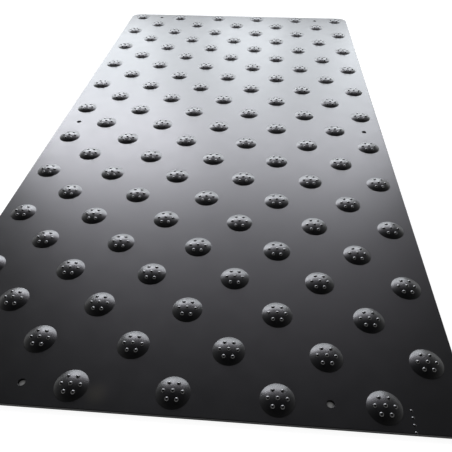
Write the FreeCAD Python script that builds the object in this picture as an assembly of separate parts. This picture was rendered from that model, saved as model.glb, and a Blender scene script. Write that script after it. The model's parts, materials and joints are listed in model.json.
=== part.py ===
"""Tactile paving panel: one moulded plate with a staggered field of warning domes and six screw holes.

Millimetres. X runs across the panel, Y along it, and Z up. The origin is the middle of the underside.
"""
import FreeCAD, Part
import os

# Grid of sites for domes and holes
half_pitch = 37.5
columns = 11
rows = 22

# Plate. A margin runs from the outermost sites to the edge. The ends keep just under half a row, so that
# panels laid end to end with a narrow joint carry the field on.
side_margin = 22.5
end_margin = 17.5
plate_thickness = 2.5
corner_radius = 15.0
rim_round = 0.8

# Domes: spherical caps
dome_foot_diameter = 26.0
dome_height = 3.4

# Screw holes, in pairs: which row, and how many sites in from each long edge
hole_diameter = 5.5
near_pair = (rows - 1, 2)
middle_pair = (rows // 2, 0)
far_pair = (0, 1)

plate_width = (columns - 1) * half_pitch + 2 * side_margin
plate_length = (rows - 1) * half_pitch + 2 * end_margin


def site(column, row, z=0.0):
    """Point at height z over a grid site. Column 0 is on the left and row 0 at the far end."""
    x = (column - (columns - 1) / 2) * half_pitch
    y = ((rows - 1) / 2 - row) * half_pitch
    return FreeCAD.Vector(x, y, z)


def plate():
    """Flat plate with round corners and a softened upper rim."""
    corner = FreeCAD.Vector(-plate_width / 2, -plate_length / 2, 0)
    slab = Part.makeBox(plate_width, plate_length, plate_thickness, corner)
    uprights = [edge for edge in slab.Edges if edge.BoundBox.ZLength > plate_thickness / 2]
    slab = slab.makeFillet(corner_radius, uprights)
    rim = [edge for edge in slab.Edges if edge.BoundBox.ZMin > plate_thickness / 2]
    return slab.makeFillet(rim_round, rim)


def dome():
    """Cap of a ball, standing on the plate. The ball lies on its side, so its poles and seam are cut away."""
    foot = dome_foot_diameter / 2
    radius = (foot ** 2 + dome_height ** 2) / (2 * dome_height)
    centre = FreeCAD.Vector(0, 0, plate_thickness + dome_height - radius)
    ball = Part.makeSphere(radius, centre, FreeCAD.Vector(-1, 0, 0))
    corner = FreeCAD.Vector(-radius, -radius, plate_thickness)
    return ball.common(Part.makeBox(2 * radius, 2 * radius, dome_height, corner))


def dome_field():
    """A dome on every second site of each row, one site over from row to row."""
    pattern = dome()
    domes = []
    for row in range(rows):
        for column in range(row % 2, columns, 2):
            domes.append(pattern.translated(site(column, row)))
    return domes


def screw_holes():
    """Plain holes right through the plate, two to a row."""
    drills = []
    for row, inset in (near_pair, middle_pair, far_pair):
        for column in (inset, columns - 1 - inset):
            base = site(column, row, -plate_thickness)
            drills.append(Part.makeCylinder(hole_diameter / 2, 3 * plate_thickness, base))
    return drills


def panel():
    """The whole moulding as one solid."""
    body = plate().multiFuse(dome_field()).removeSplitter()
    return body.cut(Part.Compound(screw_holes())).Solids[0]


os.makedirs("parts", exist_ok=True)
panel().exportStep("parts/tactile_panel.step")
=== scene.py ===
"""Looks of the tactile paving panel: a thin black plastic moulding with a staggered field of studded domes.

Metres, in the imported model's frame: X runs across the panel, Y along it away from the viewer, and Z up.
"""
import json
import math

import bpy
import numpy as np
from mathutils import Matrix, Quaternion, Vector
from mathutils.geometry import delaunay_2d_cdt


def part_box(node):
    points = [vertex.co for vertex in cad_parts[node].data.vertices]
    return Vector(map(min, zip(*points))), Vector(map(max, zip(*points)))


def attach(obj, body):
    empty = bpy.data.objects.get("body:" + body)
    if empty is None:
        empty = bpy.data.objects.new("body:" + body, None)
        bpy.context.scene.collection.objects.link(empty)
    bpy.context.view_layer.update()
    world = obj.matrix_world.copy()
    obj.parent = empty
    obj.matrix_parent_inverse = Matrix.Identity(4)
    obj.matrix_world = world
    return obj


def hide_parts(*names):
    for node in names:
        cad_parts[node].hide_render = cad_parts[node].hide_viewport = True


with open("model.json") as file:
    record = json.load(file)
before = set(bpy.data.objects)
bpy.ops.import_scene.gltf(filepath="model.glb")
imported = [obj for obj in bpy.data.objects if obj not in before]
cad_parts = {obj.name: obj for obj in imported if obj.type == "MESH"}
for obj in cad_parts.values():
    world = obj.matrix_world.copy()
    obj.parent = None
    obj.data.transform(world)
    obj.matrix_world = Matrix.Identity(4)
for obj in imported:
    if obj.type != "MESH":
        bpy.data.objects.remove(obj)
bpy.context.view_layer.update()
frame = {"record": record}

MM = 0.001
UP = Vector((0, 0, 1))

# The moulding. Its outer size, its thickness and its holes come from the frame.
HALF_PITCH = 37.5 * MM
COLUMNS = 11
ROWS = 22
CORNER_RADIUS = 15.0 * MM
RIM_ROUND = 0.8 * MM
EDGE_BREAK = 0.25 * MM
DOME_FOOT = 13.0 * MM
DOME_HEIGHT = 3.4 * MM
FOOT_BLEND = 1.0 * MM

# Studs on each dome: one on the crown and six round it, all caps of small balls
STUDS_ROUND = 6
STUD_CIRCLE = 7.2 * MM
STUD_RADIUS = 1.65 * MM
STUD_BALL = 1.9 * MM

# Row of small dots by the near right corner, caps too
DOTS = 4
DOT_X = 168.35 * MM
DOT_FIRST_Y = -394.6 * MM
DOT_PITCH = 5.2 * MM
DOT_RADIUS = 1.0 * MM
DOT_BALL = 1.8 * MM

# How far a stud or dot is sunk into what carries it
SUNK = 0.3 * MM

# How finely round shapes are divided
DOME_SIDES = 48
CAP_RINGS = 10
BLEND_RINGS = 4
HOLE_SIDES = 32
STUD_SIDES = 16
EDGE_RINGS = 4
CORNER_STEPS = 10

# Points of a flat face that lie closer than this are one
SAME_POINT = 1e-7

# Tones of the black, and how fine its clouds of tone, its rubbed patches and its grain are
DARKEST = (0.004, 0.0041, 0.0044, 1)
LIGHTEST = (0.008, 0.0083, 0.0088, 1)
CLOUD_SCALE = 14.0
CLOUD_DETAIL = 4.0
RUB_SCALE = 60.0
RUB_DETAIL = 5.0
GRAIN_SCALE = 900.0
GRAIN_DETAIL = 2.0
GRAIN_DEPTH = 0.1 * MM

# The grain's strength on the plate, and how far above the plate it has its full strength
PLATE_GRAIN = 0.05
GRAIN_RISE = DOME_HEIGHT / 4

# Finishes: roughness of the smoothest and of the roughest patches, shine, weight of the clear coat over it,
# and the grain's full strength
SATIN = {"smoothest": 0.28, "roughest": 0.35, "shine": 0.5, "coat": 0.0, "grain": 0.5}
SMOOTH = {"smoothest": 0.08, "roughest": 0.14, "shine": 0.8, "coat": 0.5, "grain": 0.05}

# A faint smear of dirt beside a dome at the near end
SMEAR_PLACE = Vector((-55.0, -398.5, 2.5)) * MM
SMEAR_RADIUS = 12 * MM
SMEAR_COLOUR = (0.026, 0.024, 0.019, 1)

# Camera
CAMERA_PLACE = Vector((52.4, -561.6, 318.6)) * MM
CAMERA_AIM = Vector((24.2, -211.9, 2.5)) * MM
CAMERA_ROLL = math.radians(-0.26)
CAMERA_LENS = 37.45
CAMERA_SEES_FROM = 10 * MM

# Edges of the softboxes beyond the panel's far end, from the lowest up: place along the panel, and height
LIGHT_FOOT = (0.65, 0.085)
LIGHT_SEAM = (0.932, 0.527)
LIGHT_HEAD = (1.5, 1.22)
LIGHT_TOP = (1.5, 2.55)

# Softboxes: left, right, lower edge, upper edge, tint and radiance
BLUISH = (0.95, 1.0, 1.055)
NEUTRAL = (1.0, 1.0, 1.08)
VIOLET = (1.06, 1.0, 1.14)
SOFTBOXES = {
    "side_left": (-1.90, -0.83, LIGHT_FOOT, LIGHT_SEAM, BLUISH, 0.5),
    "side_right": (0.50, 1.50, LIGHT_FOOT, LIGHT_SEAM, BLUISH, 0.5),
    "lower_1": (-0.76, -0.24, LIGHT_FOOT, LIGHT_SEAM, BLUISH, 6.1),
    "lower_2": (-0.24, -0.08, LIGHT_FOOT, LIGHT_SEAM, BLUISH, 4.65),
    "lower_3": (-0.08, 0.10, LIGHT_FOOT, LIGHT_SEAM, BLUISH, 6.0),
    "lower_4": (0.10, 0.26, LIGHT_FOOT, LIGHT_SEAM, BLUISH, 4.65),
    "lower_5": (0.26, 0.50, LIGHT_FOOT, LIGHT_SEAM, BLUISH, 6.0),
    "upper_left": (-1.05, -0.23, LIGHT_SEAM, LIGHT_HEAD, NEUTRAL, 13.5),
    "upper_right": (-0.23, 0.68, LIGHT_SEAM, LIGHT_HEAD, NEUTRAL, 8.4),
    "top": (-1.30, 1.15, LIGHT_HEAD, LIGHT_TOP, VIOLET, 0.75),
}

# Room round the panel: dim walls under a darker ceiling
WALL_LIGHT = 0.4
CEILING_LIGHT = 0.02
WALL_FADES_FROM = math.radians(10)
WALL_FADES_TO = math.radians(80)

# Floor that curves up into a low backdrop all round
FLOOR_RADIUS = 5.0
COVE_RADIUS = 1.0
COVE_RINGS = 8
BACKDROP_HEIGHT = 1.6
FLOOR_SIDES = 96
FLOOR_CLEARANCE = 0.05 * MM
FLOOR_COLOUR = (0.3, 0.3, 0.3, 1.0)

# Glow of the open floor and of the floor seen through a hole, and the painted shade, worked out by ambient
# occlusion, that dims this glow close by the panel and inside the holes
FLOOR_GLOW = 0.92
UNDER_GLOW = 0.3
UNDER_GLOW_FALL = 2.0
FLOOR_SHADE_REACH = 20 * MM
FLOOR_SHADE_FULL = 0.5

panel_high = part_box("tactile_panel")[1]
screw_mounts = [m for m in frame["record"]["mounts"] if m["kind"] == "bolt_pattern"]
plate_top = screw_mounts[0]["pos_m"][2]


class Skin:
    """A surface in the making: points with one normal each, and the faces between them."""

    def __init__(self):
        self.points = []
        self.normals = []
        self.faces = []

    def add(self, points, normals):
        """Adds points and returns their numbers."""
        first = len(self.points)
        self.points.extend(points)
        self.normals.extend(normals)
        return list(range(first, len(self.points)))

    def loft(self, rings):
        """Faces between rings of as many points, each ring anticlockwise seen from above."""
        for inner, outer in zip(rings, rings[1:]):
            count = len(inner)
            for i in range(count):
                j = (i + 1) % count
                self.faces.append((inner[i], outer[i], outer[j], inner[j]))

    def fan(self, tip, ring):
        """Faces from a ring to the point in its middle."""
        for i, number in enumerate(ring):
            self.faces.append((tip, number, ring[(i + 1) % len(ring)]))

    def finish(self, name, material):
        """Makes the mesh object, shaded smooth by the normals."""
        mesh = bpy.data.meshes.new(name)
        mesh.from_pydata(self.points, [], self.faces)
        mesh.shade_smooth()
        mesh.normals_split_custom_set_from_vertices(self.normals)
        mesh.materials.append(material)
        piece = bpy.data.objects.new(name, mesh)
        bpy.context.scene.collection.objects.link(piece)
        return piece


def leaning(angle, slope):
    """Normal that leans from upright by the slope, towards the angle round the upright."""
    return math.sin(slope) * math.cos(angle), math.sin(slope) * math.sin(angle), math.cos(slope)


def circle(centre_x, centre_y, radius, z, slope, sides):
    """Points round a circle, with normals that lean outwards by the slope."""
    points = []
    normals = []
    for i in range(sides):
        angle = 2 * math.pi * i / sides
        points.append((centre_x + radius * math.cos(angle), centre_y + radius * math.sin(angle), z))
        normals.append(leaning(angle, slope))
    return points, normals


def outline(inset, z, slope):
    """Points round the panel's outline, moved in by the inset, with normals that lean out by the slope."""
    points = []
    normals = []
    radius = CORNER_RADIUS - inset
    corner_x = panel_high.x - CORNER_RADIUS
    corner_y = panel_high.y - CORNER_RADIUS
    for quarter, (side_x, side_y) in enumerate(((1, 1), (-1, 1), (-1, -1), (1, -1))):
        for step in range(CORNER_STEPS + 1):
            angle = (quarter + step / CORNER_STEPS) * math.pi / 2
            x = side_x * corner_x + radius * math.cos(angle)
            y = side_y * corner_y + radius * math.sin(angle)
            points.append((x, y, z))
            normals.append(leaning(angle, slope))
    return points, normals


def dome_sites():
    """Centres of the domes: every second site of each row, one site over from row to row."""
    sites = []
    for row in range(ROWS):
        for column in range(row % 2, COLUMNS, 2):
            x = (column - (COLUMNS - 1) / 2) * HALF_PITCH
            y = ((ROWS - 1) / 2 - row) * HALF_PITCH
            sites.append((x, y))
    return sites


def hole_sites():
    """Centre and radius of each screw hole, from the panel's mounts."""
    holes = []
    for mount in screw_mounts:
        x, y, _ = mount["pos_m"]
        half_spacing = mount["dims"]["spacing_x_mm"] * MM / 2
        radius = mount["dims"]["hole_r_mm"] * MM
        for side in (-1, 1):
            holes.append((x + side * half_spacing, y, radius))
    return holes


def ball_radius():
    """Radius of the ball that a dome's cap is cut from, with room left for the blend at its foot."""
    return (DOME_FOOT ** 2 + DOME_HEIGHT ** 2) / (2 * DOME_HEIGHT) - FOOT_BLEND


def dome_profile():
    """Radius, height and slope from the crown down to the foot: a cap, then a hollow blend to the plate."""
    ball = ball_radius()
    steepest = math.asin(DOME_FOOT / (ball + FOOT_BLEND))
    profile = []
    for i in range(1, CAP_RINGS + 1):
        slope = steepest * i / CAP_RINGS
        profile.append((ball * math.sin(slope), DOME_HEIGHT - ball * (1 - math.cos(slope)), slope))
    for i in range(1, BLEND_RINGS + 1):
        slope = steepest * (1 - i / BLEND_RINGS)
        profile.append((DOME_FOOT - FOOT_BLEND * math.sin(slope), FOOT_BLEND * (1 - math.cos(slope)), slope))
    return profile


def fill(skin, rim, gaps, upwards):
    """Flat faces inside the rim and outside the gaps, each a (ring of point numbers, x, y, radius)."""
    numbers = list(rim)
    loops = [range(len(rim))]
    for ring, _, _, _ in gaps:
        loops.append(range(len(numbers), len(numbers) + len(ring)))
        numbers.extend(ring)
    edges = [(loop[i - 1], loop[i]) for loop in loops for i in range(len(loop))]
    flat = [Vector(skin.points[n][:2]) for n in numbers]
    corners, _, triangles, sources, _, _ = delaunay_2d_cdt(flat, edges, [], 0, SAME_POINT)
    middles = np.array([np.mean([corners[i] for i in t], axis=0) for t in triangles])
    kept = np.ones(len(triangles), bool)
    for ring, x, y, radius in gaps:
        inside = radius * math.cos(math.pi / len(ring))
        kept &= np.hypot(middles[:, 0] - x, middles[:, 1] - y) > inside
    for triangle, keep in zip(triangles, kept):
        if keep:
            a, b, c = (numbers[sources[i][0]] for i in triangle)
            skin.faces.append((a, b, c) if upwards else (c, b, a))


def panel_moulding(material):
    """The plate with its softened edges, its domes and its screw holes, as one closed skin."""
    skin = Skin()

    # Rim, from the plate's top round the edge to the underside
    rim = []
    for i in range(EDGE_RINGS + 1):
        slope = math.pi / 2 * i / EDGE_RINGS
        inset = RIM_ROUND * (1 - math.sin(slope))
        rim.append(skin.add(*outline(inset, plate_top - RIM_ROUND * (1 - math.cos(slope)), slope)))
    rim.append(skin.add(*outline(0, EDGE_BREAK, math.pi / 2)))
    rim.append(skin.add(*outline(EDGE_BREAK, 0, math.pi)))
    skin.loft(rim)

    # Domes, from the crown down to the foot
    feet = []
    for x, y in dome_sites():
        crown = skin.add([(x, y, plate_top + DOME_HEIGHT)], [tuple(UP)])
        rings = []
        for radius, height, slope in dome_profile():
            rings.append(skin.add(*circle(x, y, radius, plate_top + height, slope, DOME_SIDES)))
        skin.fan(crown[0], rings[0])
        skin.loft(rings)
        feet.append((rings[-1], x, y, DOME_FOOT))

    # Holes, from the underside up to the plate's top
    mouths = []
    exits = []
    for x, y, radius in hole_sites():
        wide = radius + EDGE_BREAK
        rings = [
            skin.add(*circle(x, y, wide, 0, -math.pi, HOLE_SIDES)),
            skin.add(*circle(x, y, radius, EDGE_BREAK, -math.pi / 2, HOLE_SIDES)),
            skin.add(*circle(x, y, radius, plate_top - EDGE_BREAK, -math.pi / 2, HOLE_SIDES)),
            skin.add(*circle(x, y, wide, plate_top, 0, HOLE_SIDES)),
        ]
        skin.loft(rings)
        exits.append((rings[0], x, y, wide))
        mouths.append((rings[-1], x, y, wide))

    fill(skin, rim[0], feet + mouths, upwards=True)
    fill(skin, rim[-1], exits, upwards=False)
    return skin.finish("panel_moulding", material)


def add_button(skin, place, turn, radius, ball):
    """Adds a closed cap of a ball with a sunk base, at a place on a surface and square to it."""
    steepest = math.asin(radius / ball)
    height = ball * (1 - math.cos(steepest))
    profile = []
    for i in range(1, EDGE_RINGS + 1):
        slope = steepest * i / EDGE_RINGS
        profile.append((ball * math.sin(slope), height - ball * (1 - math.cos(slope)), slope))
    profile.append((radius, -SUNK, math.pi / 2))

    def put(points, normals):
        turned = [tuple(place + turn @ Vector(p)) for p in points]
        return skin.add(turned, [tuple(turn @ Vector(n)) for n in normals])

    rings = []
    for ring_radius, ring_height, slope in profile:
        rings.append(put(*circle(0, 0, ring_radius, ring_height, slope, STUD_SIDES)))
    skin.fan(put([(0, 0, height)], [UP])[0], rings[0])
    skin.loft(rings)
    skin.fan(put([(0, 0, -SUNK)], [-UP])[0], rings[-1][::-1])


def dome_studs(material):
    """Seven small studs on every dome, standing square to its surface."""
    skin = Skin()
    ball = ball_radius()
    lean = math.asin(STUD_CIRCLE / ball)
    drop = ball * (1 - math.cos(lean))
    for x, y in dome_sites():
        crown = Vector((x, y, plate_top + DOME_HEIGHT))
        add_button(skin, crown, Quaternion(), STUD_RADIUS, STUD_BALL)
        for i in range(STUDS_ROUND):
            angle = 2 * math.pi * i / STUDS_ROUND
            out = Vector((math.cos(angle), math.sin(angle), 0))
            turn = UP.rotation_difference(Vector(leaning(angle, lean)))
            place = crown + out * STUD_CIRCLE - UP * drop
            add_button(skin, place, turn, STUD_RADIUS, STUD_BALL)
    return skin.finish("dome_studs", material)


def corner_dots(material):
    """A short row of small raised dots that runs up to the near edge."""
    skin = Skin()
    for i in range(DOTS):
        place = Vector((DOT_X, DOT_FIRST_Y - i * DOT_PITCH, plate_top))
        add_button(skin, place, Quaternion(), DOT_RADIUS, DOT_BALL)
    return skin.finish("corner_dots", material)


def put_in(tree, socket, value):
    """Sets a socket to a value, or links it to another node's output."""
    if isinstance(value, bpy.types.NodeSocket):
        tree.links.new(value, socket)
    else:
        socket.default_value = value


def new_node(tree, kind, settings=(), **inputs):
    """A shader node with its settings and inputs. In an input's name, a low line stands for a space."""
    node = tree.nodes.new(kind)
    for name, value in dict(settings).items():
        setattr(node, name, value)
    for name, value in inputs.items():
        put_in(tree, node.inputs[name.replace("_", " ")], value)
    return node


def maths(tree, operation, *values):
    """Output of a math node."""
    node = new_node(tree, "ShaderNodeMath", {"operation": operation})
    for socket, value in zip(node.inputs, values):
        put_in(tree, socket, value)
    return node.outputs["Value"]


def black_plastic(name, smoothest, roughest, shine, coat, grain):
    """Black moulded plastic, a little uneven as large thin mouldings are, and grainier above the plate."""
    material = bpy.data.materials.new(name)
    material.use_nodes = True
    tree = material.node_tree
    shader = tree.nodes["Principled BSDF"]
    shader.inputs["Specular IOR Level"].default_value = shine
    shader.inputs["Coat Weight"].default_value = coat
    shader.inputs["Coat Roughness"].default_value = smoothest
    place = new_node(tree, "ShaderNodeTexCoord").outputs["Object"]

    def noise(scale, detail):
        return new_node(tree, "ShaderNodeTexNoise", Vector=place, Scale=scale, Detail=detail).outputs["Fac"]

    # Clouds of tone, with the smear over them
    tint = new_node(tree, "ShaderNodeValToRGB", Fac=noise(CLOUD_SCALE, CLOUD_DETAIL))
    tint.color_ramp.elements[0].color = DARKEST
    tint.color_ramp.elements[1].color = LIGHTEST
    off_smear = new_node(tree, "ShaderNodeVectorMath", {"operation": "DISTANCE"})
    put_in(tree, off_smear.inputs[0], place)
    put_in(tree, off_smear.inputs[1], SMEAR_PLACE)
    smear = new_node(
        tree, "ShaderNodeMapRange", {"interpolation_type": "SMOOTHSTEP"},
        Value=off_smear.outputs["Value"], From_Min=SMEAR_RADIUS, From_Max=0.0,
    )
    dirt = new_node(tree, "ShaderNodeMix", {"data_type": "RGBA"}, Factor=smear.outputs["Result"])
    clean, dirty = (socket for socket in dirt.inputs if socket.type == "RGBA")
    put_in(tree, clean, tint.outputs["Color"])
    put_in(tree, dirty, SMEAR_COLOUR)
    mixed = next(socket for socket in dirt.outputs if socket.type == "RGBA")
    put_in(tree, shader.inputs["Base Color"], mixed)

    # Rubbed patches
    rub = noise(RUB_SCALE, RUB_DETAIL)
    gloss = new_node(tree, "ShaderNodeMapRange", Value=rub, To_Min=smoothest, To_Max=roughest)
    put_in(tree, shader.inputs["Roughness"], gloss.outputs["Result"])

    # Grain, weaker on the plate
    height = new_node(tree, "ShaderNodeSeparateXYZ", Vector=place).outputs["Z"]
    strength = new_node(
        tree, "ShaderNodeMapRange", Value=height, From_Min=plate_top, From_Max=plate_top + GRAIN_RISE,
        To_Min=PLATE_GRAIN, To_Max=grain,
    )
    bump = new_node(
        tree, "ShaderNodeBump", Height=noise(GRAIN_SCALE, GRAIN_DETAIL), Strength=strength.outputs["Result"],
        Distance=GRAIN_DEPTH,
    )
    put_in(tree, shader.inputs["Normal"], bump.outputs["Normal"])
    return material


def floor_white():
    """Plain pale floor. The glow lifts it to white where it is seen, and its own colour keeps the shadow."""
    material = bpy.data.materials.new("floor_white")
    material.use_nodes = True
    tree = material.node_tree
    shader = tree.nodes["Principled BSDF"]
    shader.inputs["Base Color"].default_value = FLOOR_COLOUR
    shader.inputs["Roughness"].default_value = 1.0
    shader.inputs["Specular IOR Level"].default_value = 0.0
    shader.inputs["Emission Color"].default_value = (1, 1, 1, 1)

    # Painted shade: what mirrors the floor sees its glow dimmed by ambient occlusion close beside the panel
    path = new_node(tree, "ShaderNodeLightPath").outputs
    open_sky = new_node(tree, "ShaderNodeAmbientOcclusion", Distance=FLOOR_SHADE_REACH).outputs["AO"]
    shade = new_node(tree, "ShaderNodeMapRange", Value=open_sky, From_Min=FLOOR_SHADE_FULL).outputs["Result"]
    mirrored = maths(tree, "MAXIMUM", path["Is Glossy Ray"], path["Is Transmission Ray"])
    seen = maths(tree, "MAXIMUM", path["Is Camera Ray"], maths(tree, "MULTIPLY", mirrored, shade))

    # Under the panel the floor glows only as far as a hole opens it to view, and this glow carries painted
    # shade, dimmed by ambient occlusion towards the hole's walls
    place = new_node(tree, "ShaderNodeTexCoord").outputs["Object"]
    off_middle = new_node(tree, "ShaderNodeSeparateXYZ", Vector=place).outputs
    beyond_x = maths(tree, "GREATER_THAN", maths(tree, "ABSOLUTE", off_middle["X"]), panel_high.x)
    beyond_y = maths(tree, "GREATER_THAN", maths(tree, "ABSOLUTE", off_middle["Y"]), panel_high.y)
    from_below = new_node(tree, "ShaderNodeNewGeometry").outputs["Backfacing"]
    beyond = maths(tree, "MAXIMUM", maths(tree, "MAXIMUM", beyond_x, beyond_y), from_below)
    hole_glow_painted_shade = maths(tree, "MULTIPLY", maths(tree, "POWER", open_sky, UNDER_GLOW_FALL), UNDER_GLOW)
    strength = new_node(tree, "ShaderNodeMix", {"data_type": "FLOAT"}, Factor=beyond, A=hole_glow_painted_shade, B=FLOOR_GLOW)
    glow = maths(tree, "MULTIPLY", seen, strength.outputs["Result"])
    put_in(tree, shader.inputs["Emission Strength"], glow)
    return material


def studio_floor():
    """A round floor that turns up through a cove into a low wall."""
    skin = Skin()
    centre = skin.add([(0, 0, -FLOOR_CLEARANCE)], [tuple(UP)])
    rings = []
    for i in range(COVE_RINGS + 1):
        slope = math.pi / 2 * i / COVE_RINGS
        radius = FLOOR_RADIUS + COVE_RADIUS * math.sin(slope)
        height = COVE_RADIUS * (1 - math.cos(slope)) - FLOOR_CLEARANCE
        rings.append(skin.add(*circle(0, 0, radius, height, -slope, FLOOR_SIDES)))
    wall_radius = FLOOR_RADIUS + COVE_RADIUS
    rings.append(skin.add(*circle(0, 0, wall_radius, BACKDROP_HEIGHT, -math.pi / 2, FLOOR_SIDES)))
    skin.fan(centre[0], rings[0])
    skin.loft(rings)
    floor = skin.finish("studio_floor", floor_white())


def softbox(name, left, right, lower, upper, tint, radiance):
    """A light that faces the panel from beyond its far end, upright or leaning back."""
    rise = Vector(upper) - Vector(lower)
    lamp = bpy.data.lights.new(name, "AREA")
    lamp.shape = "RECTANGLE"
    lamp.size = right - left
    lamp.size_y = rise.length
    lamp.energy = radiance * math.pi * lamp.size * lamp.size_y
    lamp.color = tint
    light = bpy.data.objects.new(name, lamp)
    light.location = ((left + right) / 2, (lower[0] + upper[0]) / 2, (lower[1] + upper[1]) / 2)
    light.rotation_euler = (-math.pi / 2 - math.atan2(rise.x, rise.y), 0, 0)
    light.visible_camera = False
    bpy.context.scene.collection.objects.link(light)


def studio_light():
    """Softboxes beyond the far end, in a dim room that the camera itself sees as white."""
    for name, values in SOFTBOXES.items():
        softbox(name, *values)

    world = bpy.data.worlds.new("room")
    world.use_nodes = True
    tree = world.node_tree
    direction = new_node(tree, "ShaderNodeTexCoord").outputs["Generated"]
    height = new_node(tree, "ShaderNodeSeparateXYZ", Vector=direction).outputs["Z"]
    fade = new_node(
        tree, "ShaderNodeMapRange", {"interpolation_type": "SMOOTHSTEP"}, Value=height,
        From_Min=math.sin(WALL_FADES_FROM), From_Max=math.sin(WALL_FADES_TO),
        To_Min=WALL_LIGHT, To_Max=CEILING_LIGHT,
    )
    to_camera = new_node(tree, "ShaderNodeLightPath").outputs["Is Camera Ray"]
    background = tree.nodes["Background"]
    background.inputs["Color"].default_value = (1, 1, 1, 1)
    put_in(tree, background.inputs["Strength"], maths(tree, "MAXIMUM", fade.outputs["Result"], to_camera))
    bpy.context.scene.world = world


def camera():
    """The camera at the photograph's angle."""
    data = bpy.data.cameras.new("camera")
    data.lens = CAMERA_LENS
    data.clip_start = CAMERA_SEES_FROM
    eye = bpy.data.objects.new("camera", data)
    eye.location = CAMERA_PLACE
    eye.rotation_mode = "QUATERNION"
    level = (CAMERA_AIM - CAMERA_PLACE).to_track_quat("-Z", "Y")
    eye.rotation_quaternion = level @ Quaternion(UP, CAMERA_ROLL)
    bpy.context.scene.collection.objects.link(eye)
    bpy.context.scene.camera = eye


satin = black_plastic("satin_plastic", **SATIN)
smooth = black_plastic("smooth_plastic", **SMOOTH)
moulding = panel_moulding(satin)
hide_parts("tactile_panel")
for piece in (moulding, dome_studs(smooth), corner_dots(smooth)):
    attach(piece, "root")

studio_floor()
studio_light()
camera()
bpy.context.scene.view_settings.view_transform = "Standard"
